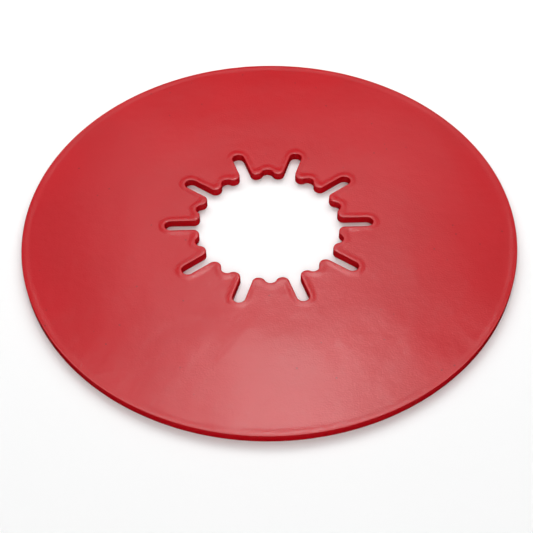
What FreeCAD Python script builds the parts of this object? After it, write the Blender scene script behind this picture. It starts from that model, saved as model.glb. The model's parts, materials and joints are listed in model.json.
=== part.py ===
import FreeCAD, Part
import math
import os

import Sketcher

# Kingpin lube plate for a trailer's fifth wheel: one flat moulded plastic disc with a star-shaped
# opening. Ten slots divide the edge of the hole into ten springy fingers that snap over the kingpin.
# Frame: millimetres, +Z up through the plate, origin at the centre of the underside, one slot along +X.

ARC_CENTRE = 3    # Sketcher's number for the centre point of a circle or arc
START = 1
END = 2
ORIGIN_GEO = -1   # the sketch origin and its X axis
Y_AXIS_GEO = -2

doc = FreeCAD.newDocument("LubePlate")

# ---------------------------------------------------------------- driving dimensions
DIMENSIONS = [
    ("plate_dia", 254.0, "10 in disc"),
    ("plate_thick", 4.7625, "3/16 in sheet thickness"),
    ("finger_count", 10, "fingers round the hole, one slot between each two"),
    ("hub_dia", 73.025, "2 7/8 in circle the finger tips lie on, the kingpin's shoulder"),
    ("slot_width", 6.35, "1/4 in slot"),
    ("slot_end_dia", 107.95, "4 1/4 in circle the slot ends touch"),
    ("notch_radius", 3.175, "hollow in the middle of each finger tip"),
    ("tip_radius", 3.175, "rounding of the two lobes either side of the hollow"),
    ("rim_round", 0.5, "rounding of the rim's top edge"),
    ("edge_round", 0.5, "rounding of the opening's top edge"),
    ("under_round", 0.4, "rounding of both underside edges"),
]

sheet = doc.addObject("Spreadsheet::Sheet", "Dimensions")
for row, (alias, value, note) in enumerate(DIMENSIONS, start=1):
    sheet.set(f"A{row}", alias)
    sheet.set(f"B{row}", str(value))
    sheet.set(f"C{row}", note)
    sheet.setAlias(f"B{row}", alias)
doc.recompute()
size = {alias: value for alias, value, note in DIMENSIONS}

body = doc.addObject("PartDesign::Body", "lube_plate")
body.Label = "lube_plate"


def origin_plane(role):
    """The body's own datum plane of that role."""
    return next(f for f in body.Origin.OriginFeatures if f.Role == role)


def flat_sketch(name):
    """An empty sketch on the plate's underside plane."""
    sketch = body.newObject("Sketcher::SketchObject", name)
    sketch.AttachmentSupport = (origin_plane("XY_Plane"), [""])
    sketch.MapMode = "FlatFace"
    return sketch


def bind(sketch, constraint, expression):
    """Give a sketch's named constraint its value from the dimension table."""
    sketch.setExpression(f"Constraints.{constraint}", expression)


def cut_upward(name, sketch):
    """Cut the sketch right through the plate, from the underside up."""
    pocket = body.newObject("PartDesign::Pocket", name)
    pocket.Profile = sketch
    pocket.Type = 1          # through all
    pocket.Reversed = True   # upward, into the plate
    sketch.Visibility = False
    return pocket


# ---------------------------------------------------------------- the disc
disc_sketch = flat_sketch("disc_sketch")
disc_sketch.addGeometry(
    Part.Circle(FreeCAD.Vector(0, 0, 0), FreeCAD.Vector(0, 0, 1), size["plate_dia"] / 2), False
)
disc_sketch.addConstraint(Sketcher.Constraint("Coincident", 0, ARC_CENTRE, ORIGIN_GEO, START))
disc_sketch.addConstraint(Sketcher.Constraint("Diameter", 0, size["plate_dia"]))
disc_sketch.renameConstraint(1, "plate_dia")
bind(disc_sketch, "plate_dia", "Dimensions.plate_dia")

disc = body.newObject("PartDesign::Pad", "disc")
disc.Profile = disc_sketch
disc.setExpression("Length", "Dimensions.plate_thick")
disc_sketch.Visibility = False

# ---------------------------------------------------------------- the round hole for the kingpin
hub_sketch = flat_sketch("hub_sketch")
hub_sketch.addGeometry(
    Part.Circle(FreeCAD.Vector(0, 0, 0), FreeCAD.Vector(0, 0, 1), size["hub_dia"] / 2), False
)
hub_sketch.addConstraint(Sketcher.Constraint("Coincident", 0, ARC_CENTRE, ORIGIN_GEO, START))
hub_sketch.addConstraint(Sketcher.Constraint("Diameter", 0, size["hub_dia"]))
hub_sketch.renameConstraint(1, "hub_dia")
bind(hub_sketch, "hub_dia", "Dimensions.hub_dia")
hub_hole = cut_upward("hub_hole", hub_sketch)

# ---------------------------------------------------------------- one slot along +X, with a full round end
half_width = size["slot_width"] / 2
slot_start = size["hub_dia"] / 4        # well inside the hole, so the slot opens into it
end_centre = size["slot_end_dia"] / 2 - half_width
corner = {
    "inner_low": FreeCAD.Vector(slot_start, -half_width, 0),
    "inner_high": FreeCAD.Vector(slot_start, half_width, 0),
    "end_low": FreeCAD.Vector(end_centre, -half_width, 0),
    "end_high": FreeCAD.Vector(end_centre, half_width, 0),
}
slot_sketch = flat_sketch("slot_sketch")
low_side, round_end, high_side, mouth = range(4)
slot_sketch.addGeometry(Part.LineSegment(corner["inner_low"], corner["end_low"]), False)
end_circle = Part.Circle(FreeCAD.Vector(end_centre, 0, 0), FreeCAD.Vector(0, 0, 1), half_width)
slot_sketch.addGeometry(Part.ArcOfCircle(end_circle, -math.pi / 2, math.pi / 2), False)
slot_sketch.addGeometry(Part.LineSegment(corner["end_high"], corner["inner_high"]), False)
slot_sketch.addGeometry(Part.LineSegment(corner["inner_high"], corner["inner_low"]), False)
slot_rules = [
    Sketcher.Constraint("Tangent", low_side, END, round_end, START),
    Sketcher.Constraint("Tangent", round_end, END, high_side, START),
    Sketcher.Constraint("Coincident", high_side, END, mouth, START),
    Sketcher.Constraint("Coincident", mouth, END, low_side, START),
    Sketcher.Constraint("Horizontal", low_side),
    Sketcher.Constraint("Vertical", mouth),
    Sketcher.Constraint("PointOnObject", round_end, ARC_CENTRE, ORIGIN_GEO),
    Sketcher.Constraint("Radius", round_end, half_width),
    Sketcher.Constraint("DistanceX", ORIGIN_GEO, START, round_end, ARC_CENTRE, end_centre),
    Sketcher.Constraint("DistanceX", ORIGIN_GEO, START, mouth, START, slot_start),
]
for rule in slot_rules:
    slot_sketch.addConstraint(rule)
slot_sketch.renameConstraint(7, "slot_radius")
slot_sketch.renameConstraint(8, "end_centre")
slot_sketch.renameConstraint(9, "mouth_at")
bind(slot_sketch, "slot_radius", "Dimensions.slot_width / 2")
bind(slot_sketch, "end_centre", "Dimensions.slot_end_dia / 2 - Dimensions.slot_width / 2")
bind(slot_sketch, "mouth_at", "Dimensions.hub_dia / 4")
slot = cut_upward("slot", slot_sketch)

# ---------------------------------------------------------------- one finger's hollow, half a pitch from the slot
half_pitch = math.pi / size["finger_count"]
notch_sketch = flat_sketch("notch_sketch")
notch_centre = FreeCAD.Vector(math.cos(half_pitch), math.sin(half_pitch), 0) * (size["hub_dia"] / 2)
centre_line = 1
notch_sketch.addGeometry(
    Part.Circle(notch_centre, FreeCAD.Vector(0, 0, 1), size["notch_radius"]), False
)
notch_sketch.addGeometry(Part.LineSegment(FreeCAD.Vector(0, 0, 0), notch_centre), True)
notch_rules = [
    Sketcher.Constraint("Coincident", centre_line, START, ORIGIN_GEO, START),
    Sketcher.Constraint("Coincident", centre_line, END, 0, ARC_CENTRE),
    Sketcher.Constraint("Angle", ORIGIN_GEO, START, centre_line, START, half_pitch),
    Sketcher.Constraint("Distance", centre_line, size["hub_dia"] / 2),
    Sketcher.Constraint("Radius", 0, size["notch_radius"]),
]
for rule in notch_rules:
    notch_sketch.addConstraint(rule)
notch_sketch.renameConstraint(2, "half_pitch")
notch_sketch.renameConstraint(3, "notch_at")
notch_sketch.renameConstraint(4, "notch_radius")
bind(notch_sketch, "half_pitch", "180deg / Dimensions.finger_count")
bind(notch_sketch, "notch_at", "Dimensions.hub_dia / 2")
bind(notch_sketch, "notch_radius", "Dimensions.notch_radius")
notch = cut_upward("notch", notch_sketch)

# ---------------------------------------------------------------- ten slots and ten hollows round the hole
fingers = body.newObject("PartDesign::PolarPattern", "fingers")
fingers.Originals = [slot, notch]
fingers.Axis = (next(f for f in body.Origin.OriginFeatures if f.Role == "Z_Axis"), [""])
fingers.Angle = 360.0
fingers.setExpression("Occurrences", "Dimensions.finger_count")
body.Tip = fingers
doc.recompute()

TOLERANCE = 0.01   # mm, for telling edges apart by where they are


def edge_names(feature, wanted):
    """Names of the feature's edges for which wanted(edge) holds."""
    edges = feature.Shape.Edges
    return [f"Edge{i}" for i, edge in enumerate(edges, start=1) if wanted(edge)]


def rounded(name, base, names, dimension):
    """Round the named edges of the base feature to a radius from the dimension table."""
    fillet = body.newObject("PartDesign::Fillet", name)
    fillet.Base = (base, names)
    fillet.setExpression("Radius", f"Dimensions.{dimension}")
    body.Tip = fillet
    doc.recompute()
    return fillet


def is_tip_corner(edge):
    """An upright edge where a slot or a hollow breaks into the round hole."""
    box = edge.BoundBox
    upright = box.ZLength > TOLERANCE and box.XLength < TOLERANCE and box.YLength < TOLERANCE
    radius = math.hypot(box.Center.x, box.Center.y)
    return upright and abs(radius - size["hub_dia"] / 2) < TOLERANCE


def lies_at(edge, height):
    """A level edge at that height."""
    return edge.BoundBox.ZLength < TOLERANCE and abs(edge.BoundBox.Center.z - height) < TOLERANCE


def is_rim(edge):
    """An edge on the plate's outside."""
    return edge.BoundBox.XLength > size["plate_dia"] * 0.9


# ---------------------------------------------------------------- lobes, then the eased edges
finger_tips = rounded("finger_tips", fingers, edge_names(fingers, is_tip_corner), "tip_radius")
top_opening = rounded(
    "top_opening",
    finger_tips,
    edge_names(finger_tips, lambda e: lies_at(e, size["plate_thick"]) and not is_rim(e)),
    "edge_round",
)
top_rim = rounded(
    "top_rim",
    top_opening,
    edge_names(top_opening, lambda e: lies_at(e, size["plate_thick"]) and is_rim(e)),
    "rim_round",
)
underside = rounded(
    "underside",
    top_rim,
    edge_names(top_rim, lambda e: lies_at(e, 0.0)),
    "under_round",
)

# ---------------------------------------------------------------- check and write
body.Placement = FreeCAD.Placement()
doc.recompute()
for item in doc.Objects:
    if "Invalid" in item.State or "Error" in item.State:
        raise RuntimeError(f"{item.Label} did not build: {item.State}")
if body.Shape.isNull() or not body.Shape.isValid() or len(body.Shape.Solids) != 1:
    raise RuntimeError("the plate is not one sound solid")

full_disc = math.pi * (size["plate_dia"] / 2) ** 2 * size["plate_thick"]
hub_area = math.pi * (size["hub_dia"] / 2) ** 2
if body.Shape.Volume > full_disc - hub_area * size["plate_thick"]:
    raise RuntimeError("the star-shaped opening was not cut")

os.makedirs("parts", exist_ok=True)
body.Shape.exportStep("parts/lube_plate.step")
print("lube_plate", round(body.Shape.Volume, 1), "mm3", len(body.Shape.Faces), "faces", body.Shape.BoundBox)
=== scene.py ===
import json
import math

import bmesh
import bpy
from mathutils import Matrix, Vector
from mathutils.kdtree import KDTree


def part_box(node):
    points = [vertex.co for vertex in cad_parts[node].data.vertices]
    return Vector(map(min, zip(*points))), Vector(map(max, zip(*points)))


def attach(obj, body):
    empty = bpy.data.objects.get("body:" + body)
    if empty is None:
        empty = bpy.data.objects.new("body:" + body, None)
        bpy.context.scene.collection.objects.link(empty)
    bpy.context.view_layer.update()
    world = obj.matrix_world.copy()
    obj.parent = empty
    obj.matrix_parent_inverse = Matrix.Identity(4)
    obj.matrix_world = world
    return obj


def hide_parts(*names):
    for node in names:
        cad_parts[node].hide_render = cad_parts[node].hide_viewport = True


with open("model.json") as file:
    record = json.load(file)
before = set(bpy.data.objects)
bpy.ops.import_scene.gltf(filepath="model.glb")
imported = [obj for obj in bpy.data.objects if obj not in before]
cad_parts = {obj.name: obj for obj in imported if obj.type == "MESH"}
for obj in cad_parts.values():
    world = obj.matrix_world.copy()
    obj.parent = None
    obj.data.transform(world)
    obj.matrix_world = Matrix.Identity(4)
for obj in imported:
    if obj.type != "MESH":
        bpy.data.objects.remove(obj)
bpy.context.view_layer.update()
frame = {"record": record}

# ------------------------------------------------------------------------------------------------
# The plate: one flat disc of red polyethylene, injection moulded in a single shot. It snaps over a
# trailer's kingpin by ten springy fingers that round-ended slots cut out of the edge of its hole.
# Nothing is fixed to it: the fingers, the lobes on their tips and the eased edges are all moulded.
# ------------------------------------------------------------------------------------------------
MM = 0.001
TOUCH = 0.01 * MM              # places closer than this are the same
low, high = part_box("lube_plate")
rim_radius = high.x
thickness = high.z - low.z
mounts = {m["name"]: m for m in frame["record"]["mounts"]}
tip_radius = mounts["kingpin_grip"]["dims"]["r_mm"] * MM      # circle the finger tips lie on

FINGERS = 10
HALF_SLOT = 3.175 * MM
SLOT_END = 53.975 * MM         # where a slot's round end stops
LOBE = 3.175 * MM              # rounding of the two lobes of a finger tip
HOLLOW = 3.175 * MM            # rounding of the hollow between them
OPENING_EASE = 0.5 * MM        # rounded top edge of the opening
RIM_EASE = 0.5 * MM            # rounded top edge of the rim
UNDER_EASE = 0.4 * MM          # rounded underside edges

# steps along half a finger's outline; twenty of these halves make the opening
END_STEPS = 6
SIDE_STEPS = 8
LOBE_STEPS = 6
HOLLOW_STEPS = 5
HALF_STEPS = END_STEPS + SIDE_STEPS + 2 * LOBE_STEPS + 1 + HOLLOW_STEPS


def select_where(kind, test):
    """In edit mode, select just the vertices or the edges for which test(item) holds."""
    bpy.ops.mesh.select_mode(type=kind)
    bpy.ops.mesh.select_all(action="DESELECT")
    bm = bmesh.from_edit_mesh(bpy.context.edit_object.data)
    bm.normal_update()
    for item in {"VERT": bm.verts, "EDGE": bm.edges}[kind]:
        if test(item):
            item.select_set(True)
    bmesh.update_edit_mesh(bpy.context.edit_object.data)


def near(vertex, x, y):
    """Is the vertex at that place, seen from above?"""
    return math.hypot(vertex.co.x - x, vertex.co.y - y) < TOUCH


# the slot's round end: a circle of which only a quarter is kept
end_centre = SLOT_END - HALF_SLOT
bpy.ops.object.select_all(action="DESELECT")
bpy.ops.mesh.primitive_circle_add(
    vertices=4 * END_STEPS, radius=HALF_SLOT, location=(end_centre, 0, low.z)
)
plate = bpy.context.active_object
plate.name = "moulded_plate"
bpy.ops.object.transform_apply(location=True, rotation=True, scale=True)
bpy.ops.object.mode_set(mode="EDIT")
select_where("VERT", lambda v: v.co.x < end_centre - TOUCH or v.co.y < -TOUCH)
bpy.ops.mesh.delete(type="VERT")

# the slot's side, drawn inwards from the round end
lobe_1 = Vector((math.sqrt((tip_radius + LOBE) ** 2 - (HALF_SLOT + LOBE) ** 2), HALF_SLOT + LOBE, 0))
side_step = (end_centre - lobe_1.x) / SIDE_STEPS
select_where("VERT", lambda v: near(v, end_centre, HALF_SLOT))
for _ in range(SIDE_STEPS):
    bpy.ops.mesh.extrude_vertices_move(TRANSFORM_OT_translate={"value": (-side_step, 0, 0)})

# the finger tip: lobe, its blunt top on the kingpin's circle, second lobe, then half the hollow
half_pitch = math.pi / FINGERS
hollow_at = Vector((math.cos(half_pitch), math.sin(half_pitch), 0)) * tip_radius
lobe_reach = tip_radius + LOBE
away = math.acos(
    (lobe_reach**2 + tip_radius**2 - (LOBE + HOLLOW) ** 2) / (2 * lobe_reach * tip_radius)
)
lobe_1_angle = math.atan2(lobe_1.y, lobe_1.x)
lobe_2_angle = half_pitch - away
lobe_2 = Vector((math.cos(lobe_2_angle), math.sin(lobe_2_angle), 0)) * lobe_reach
to_hollow = hollow_at - lobe_2
turn_lobe_1 = -(math.pi / 2 - lobe_1_angle)
turn_lobe_2 = -(lobe_2_angle + math.pi - math.atan2(to_hollow.y, to_hollow.x)) % (-2 * math.pi)
back = lobe_2 - hollow_at
turn_hollow = (half_pitch - math.atan2(back.y, back.x)) % (2 * math.pi)
if turn_hollow > math.pi:
    turn_hollow -= 2 * math.pi
for steps, turn, centre in (
    (LOBE_STEPS, turn_lobe_1, lobe_1),
    (1, lobe_2_angle - lobe_1_angle, Vector((0, 0, 0))),
    (LOBE_STEPS, turn_lobe_2, lobe_2),
    (HOLLOW_STEPS, turn_hollow, hollow_at),
):
    # seen from above, spin turns the other way round an axis that points up
    bpy.ops.mesh.spin(steps=steps, angle=turn, center=(centre.x, centre.y, low.z), axis=(0, 0, -1))

# mirrored over the slot's middle, then ten times round the hole
bpy.ops.mesh.select_all(action="SELECT")
bpy.ops.mesh.duplicate()
bpy.ops.transform.resize(value=(1, -1, 1), center_override=(0, 0, 0))
bpy.ops.mesh.select_all(action="SELECT")
bpy.ops.mesh.remove_doubles(threshold=TOUCH)
bpy.ops.mesh.spin(
    steps=FINGERS - 1,
    dupli=True,
    angle=2 * math.pi * (FINGERS - 1) / FINGERS,
    center=(0, 0, low.z),
    axis=(0, 0, 1),
)
bpy.ops.mesh.select_all(action="SELECT")
bpy.ops.mesh.remove_doubles(threshold=TOUCH)

# the flat disc: a rim circle drawn a little above the opening, joined to it and pressed flat
RIM_LIFT = 10 * MM
EDGE_STRIP = 2 * MM            # a band of small faces that carries the rounding of each edge
bpy.ops.mesh.primitive_circle_add(
    vertices=2 * FINGERS * HALF_STEPS, radius=rim_radius, location=(0, 0, low.z + RIM_LIFT)
)
bpy.ops.mesh.select_all(action="SELECT")
bpy.ops.mesh.bridge_edge_loops()
bpy.ops.mesh.select_all(action="SELECT")
bpy.ops.transform.resize(value=(1, 1, 0), center_override=(0, 0, low.z))
bpy.ops.mesh.inset(thickness=EDGE_STRIP, use_boundary=True, use_even_offset=True)

# its thickness
bpy.ops.mesh.select_all(action="SELECT")
bpy.ops.mesh.extrude_region_move(TRANSFORM_OT_translate={"value": (0, 0, thickness)})
bpy.ops.mesh.select_all(action="SELECT")
bpy.ops.mesh.normals_make_consistent(inside=False)


def at_height(edge, z):
    """Does the edge lie at that height?"""
    return all(abs(v.co.z - z) < TOUCH for v in edge.verts)


def is_corner(edge, z, outside):
    """Does the edge divide a wall from the flat face at that height, on the rim or in the opening?"""
    if not at_height(edge, z):
        return False
    upright = [abs(f.normal.z) < 0.5 for f in edge.link_faces]
    on_rim = edge.verts[0].co.xy.length > 0.5 * (rim_radius + SLOT_END)
    return upright[0] != upright[1] and on_rim == outside


# the rounded edges
for z, outside, ease, rounds in (
    (high.z, False, OPENING_EASE, 4),
    (high.z, True, RIM_EASE, 4),
    (low.z, False, UNDER_EASE, 3),
    (low.z, True, UNDER_EASE, 3),
):
    select_where("EDGE", lambda e: is_corner(e, z, outside))
    bpy.ops.mesh.bevel(
        offset=ease, offset_type="OFFSET", segments=rounds, profile=0.5, affect="EDGES", loop_slide=False
    )

# both faces get rings that run from the shape of the opening to the round rim
TOP_RINGS = 100
UNDER_RINGS = 10
for z, rings in ((high.z, TOP_RINGS), (low.z, UNDER_RINGS)):
    select_where("EDGE", lambda e: at_height(e, z) and e.calc_length() > 10 * EDGE_STRIP)
    bpy.ops.mesh.subdivide(number_cuts=rings)

# Moulded plastic shrinks least along its edges as it cools, so a low lip is left round the opening
# and round the rim, and the field between them lies a little lower.
LIP = 3.8 * MM                 # width of the lip
SINK = 0.22 * MM               # how far the field lies below it
opening_edge = [
    v.co.copy()
    for v in bmesh.from_edit_mesh(plate.data).verts
    if v.co.xy.length < SLOT_END + 0.1 * MM and low.z + thickness / 2 < v.co.z < high.z - 0.5 * OPENING_EASE
]
opening_tree = KDTree(len(opening_edge))
for number, place in enumerate(opening_edge):
    opening_tree.insert((place.x, place.y, high.z), number)
opening_tree.balance()


def in_field(vertex):
    """Is the vertex on the top, inside the rim's lip and outside the opening's?"""
    co = vertex.co
    if abs(co.z - high.z) > TOUCH or co.xy.length > rim_radius - LIP:
        return False
    return co.xy.length > SLOT_END + LIP or opening_tree.find(co)[2] > LIP


select_where("VERT", in_field)
bpy.ops.transform.translate(
    value=(0, 0, -SINK),
    use_proportional_edit=True,
    proportional_edit_falloff="SMOOTH",
    proportional_size=LIP,
)
bpy.ops.mesh.select_all(action="SELECT")
bpy.ops.mesh.normals_make_consistent(inside=False)
bpy.ops.object.mode_set(mode="OBJECT")

# The field is a little dished round the opening, and uneven cooling leaves slow waves in all of it.
# Both die out in the lips. The wave texture is a fixed one, so it is the same each time.
HUB = 58 * MM                  # the dish is deepest inside this radius
HUB_FADE = 20 * MM             # and fades out over this width
HUB_DISH = 0.10 * MM
WAVE_LENGTH = 30 * MM
WAVE_HEIGHT = 0.44 * MM
field = plate.vertex_groups.new(name="field")
hub = plate.vertex_groups.new(name="hub")
for vertex in plate.data.vertices:
    radius = vertex.co.xy.length
    if vertex.co.z > high.z - 1.01 * SINK and radius < rim_radius - EDGE_STRIP:
        in_lip = (high.z - vertex.co.z) / SINK
        outwards = min(max((radius - HUB) / HUB_FADE, 0), 1)
        field.add([vertex.index], in_lip, "REPLACE")
        hub.add([vertex.index], in_lip * (1 - outwards * outwards * (3 - 2 * outwards)), "REPLACE")
dish = plate.modifiers.new("dished round the opening", "DISPLACE")
dish.direction = "Z"
dish.mid_level = 0
dish.strength = -HUB_DISH
dish.vertex_group = hub.name
bpy.ops.object.modifier_apply(modifier=dish.name)
waves = bpy.data.textures.new("cooling waves", "CLOUDS")
waves.noise_basis = "IMPROVED_PERLIN"
waves.noise_scale = WAVE_LENGTH
waves.noise_depth = 2
uneven = plate.modifiers.new("uneven cooling", "DISPLACE")
uneven.texture = waves
uneven.texture_coords = "LOCAL"
uneven.direction = "Z"
uneven.mid_level = 0.5
uneven.strength = WAVE_HEIGHT
uneven.vertex_group = field.name
bpy.ops.object.modifier_apply(modifier=uneven.name)
bpy.ops.object.shade_smooth_by_angle(angle=math.radians(40))

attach(plate, "root")
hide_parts("lube_plate")

# The plastic: red right through, with a satin skin. Uneven flow leaves it a little lighter or darker
# from place to place; the mould's skin gives it a fine grain, and a few dark specks are moulded in.
red = bpy.data.materials.new("red moulded polyethylene")
red.use_nodes = True
nodes = red.node_tree.nodes
links = red.node_tree.links
shader = nodes["Principled BSDF"]
shader.inputs["IOR"].default_value = 1.5
RED = (0.468, 0.0008, 0.0055, 1)
DEEP_RED = (0.395, 0.0005, 0.0036, 1)
SPECK = (0.10, 0.004, 0.005, 1)

coordinates = nodes.new("ShaderNodeTexCoord")


def noise(name, size, detail, roughness=0.5):
    """A noise pattern with features of that size in metres."""
    pattern = nodes.new("ShaderNodeTexNoise")
    pattern.name = pattern.label = name
    pattern.inputs["Scale"].default_value = 1 / size
    pattern.inputs["Detail"].default_value = detail
    pattern.inputs["Roughness"].default_value = roughness
    links.new(coordinates.outputs["Object"], pattern.inputs["Vector"])
    return pattern.outputs["Fac"]


def spread(name, value, from_low, from_high, to_low, to_high):
    """Stretches part of a value's range over a new range."""
    node = nodes.new("ShaderNodeMapRange")
    node.name = node.label = name
    node.inputs["From Min"].default_value = from_low
    node.inputs["From Max"].default_value = from_high
    node.inputs["To Min"].default_value = to_low
    node.inputs["To Max"].default_value = to_high
    links.new(value, node.inputs["Value"])
    return node.outputs["Result"]


def blend(name, factor, first, second):
    """Mixes two colours by a factor."""
    node = nodes.new("ShaderNodeMix")
    node.data_type = "RGBA"
    node.name = node.label = name
    links.new(factor, node.inputs["Factor"])
    for socket, colour in ((node.inputs[6], first), (node.inputs[7], second)):
        if isinstance(colour, tuple):
            socket.default_value = colour
        else:
            links.new(colour, socket)
    return node.outputs[2]


flow = spread("flow marks", noise("flow", 45 * MM, 2), 0.35, 0.65, 0.0, 0.35)
skin_grain = noise("skin grain", 0.9 * MM, 2, 0.6)
orange_peel = noise("orange peel", 7 * MM, 1)

speck_cells = nodes.new("ShaderNodeTexVoronoi")
speck_cells.name = speck_cells.label = "speck cells"
speck_cells.inputs["Scale"].default_value = 1 / (6 * MM)
links.new(coordinates.outputs["Object"], speck_cells.inputs["Vector"])
speck_dot = spread("speck dots", speck_cells.outputs["Distance"], 0.055, 0.090, 1.0, 0.0)
speck_pick = nodes.new("ShaderNodeSeparateColor")
links.new(speck_cells.outputs["Color"], speck_pick.inputs["Color"])
speck_some = spread("only some cells", speck_pick.outputs["Red"], 0.78, 0.80, 0.0, 0.75)
specks = nodes.new("ShaderNodeMath")
specks.operation = "MULTIPLY"
links.new(speck_dot, specks.inputs[0])
links.new(speck_some, specks.inputs[1])

flowed = blend("uneven red", flow, RED, DEEP_RED)
links.new(blend("specks in the red", specks.outputs["Value"], flowed, SPECK), shader.inputs["Base Color"])
links.new(spread("satin skin", skin_grain, 0.3, 0.7, 0.17, 0.23), shader.inputs["Roughness"])

peel = nodes.new("ShaderNodeBump")
peel.inputs["Distance"].default_value = 0.11 * MM
peel.inputs["Strength"].default_value = 1.0
links.new(orange_peel, peel.inputs["Height"])
grain = nodes.new("ShaderNodeBump")
grain.inputs["Distance"].default_value = 0.075 * MM
grain.inputs["Strength"].default_value = 1.0
links.new(skin_grain, grain.inputs["Height"])
links.new(peel.outputs["Normal"], grain.inputs["Normal"])
links.new(grain.outputs["Normal"], shader.inputs["Normal"])
plate.data.materials.clear()
plate.data.materials.append(red)

# ------------------------------------------------------------------------------------------------
# The floor: a plain white matt studio sheet, far larger than the plate, that lies flat under it.
# It lights the plate from below, but the plate's skin doesn't mirror it.
# ------------------------------------------------------------------------------------------------
bpy.ops.object.select_all(action="DESELECT")
FLOOR_WIDTH = 60
bpy.ops.mesh.primitive_plane_add(size=FLOOR_WIDTH, location=(0, 0, low.z))
floor = bpy.context.active_object
floor.name = "studio_floor"
white = bpy.data.materials.new("studio white")
white.use_nodes = True
matt = white.node_tree.nodes["Principled BSDF"]
matt.inputs["Base Color"].default_value = (0.9, 0.9, 0.9, 1)
matt.inputs["Roughness"].default_value = 0.9
matt.inputs["Specular IOR Level"].default_value = 0.0
floor.data.materials.append(white)
floor.visible_glossy = False

# ------------------------------------------------------------------------------------------------
# The studio: a dim white dome all round, and softboxes that face the plate. Those behind it throw
# its short shadow forwards, and the ones overhead are mirrored in the front half of its skin.
# ------------------------------------------------------------------------------------------------
world = bpy.data.worlds.new("studio")
bpy.context.scene.world = world
world.use_nodes = True
sky = world.node_tree.nodes
sky_links = world.node_tree.links
direction = sky.new("ShaderNodeTexCoord")
height_of = sky.new("ShaderNodeSeparateXYZ")
sky_links.new(direction.outputs["Generated"], height_of.inputs["Vector"])
dome = sky.new("ShaderNodeMapRange")
dome.label = "dome above the floor, nothing below it"
dome.inputs["From Min"].default_value = 0.0
dome.inputs["From Max"].default_value = 0.12
dome.inputs["To Max"].default_value = 0.20
sky_links.new(height_of.outputs["Z"], dome.inputs["Value"])
seen = sky.new("ShaderNodeLightPath")
behind = sky.new("ShaderNodeMix")
behind.label = "as bright as the far floor where the camera looks past it"
behind.inputs["B"].default_value = 0.18
sky_links.new(seen.outputs["Is Camera Ray"], behind.inputs["Factor"])
sky_links.new(dome.outputs["Result"], behind.inputs["A"])
sky_links.new(behind.outputs["Result"], sky["Background"].inputs["Strength"])
sky["Background"].inputs["Color"].default_value = (1, 1, 1, 1)


def softbox(name, azimuth, elevation, distance, width, height, power):
    """A rectangular studio light that faces the plate; azimuth 0 is straight behind it."""
    data = bpy.data.lights.new(name, "AREA")
    data.shape = "RECTANGLE"
    data.size = width
    data.size_y = height
    data.energy = power
    lamp = bpy.data.objects.new(name, data)
    azimuth = math.radians(azimuth)
    elevation = math.radians(elevation)
    lamp.location = distance * Vector(
        (math.sin(azimuth) * math.cos(elevation), math.cos(azimuth) * math.cos(elevation), math.sin(elevation))
    )
    lamp.rotation_euler = (-lamp.location).to_track_quat("-Z", "Y").to_euler()
    lamp.visible_camera = False
    bpy.context.scene.collection.objects.link(lamp)
    return lamp


softbox("strip", 3.9, 60, 1.52, 0.28, 0.08, 1.35)
softbox("back", 0.9, 50.2, 0.70, 0.38, 0.28, 0.32)
softbox("front", 180, 40, 1.2, 1.0, 0.6, 6.4)
# these two are only mirrored: in the front half of the top, and in the eased edges
overhead = softbox("overhead", -1.4, 75.5, 0.70, 1.42, 0.25, 3.15)
overhead.visible_diffuse = False
card = softbox("card above the camera", 180, 73, 0.95, 1.6, 1.0, 12)
card.visible_diffuse = False
# these light the plate without being mirrored in it
for lamp in (
    softbox("overhead fill", -1.4, 75.5, 0.76, 1.42, 0.25, 1.45),
    softbox("key", 0, 45, 1.0, 0.6, 0.4, 2.6),
    softbox("key left", -35, 38, 1.0, 0.5, 0.4, 2.35),
    softbox("key right", 35, 38, 1.0, 0.5, 0.4, 2.35),
):
    lamp.visible_glossy = False

# ------------------------------------------------------------------------------------------------
# The camera: it stands in front of the plate and looks down at it from 48 degrees, turned very
# slightly about its own line of sight.
# ------------------------------------------------------------------------------------------------
lens = bpy.data.cameras.new("camera")
lens.lens = 71.506
lens.sensor_width = 36
camera = bpy.data.objects.new("camera", lens)
camera.location = (-0.005489, -0.369990, 0.409562)
camera.rotation_euler = (math.radians(40.087), math.radians(0.5043), math.radians(-1.2089))
bpy.context.scene.collection.objects.link(camera)
bpy.context.scene.camera = camera
bpy.context.scene.view_settings.view_transform = "Standard"
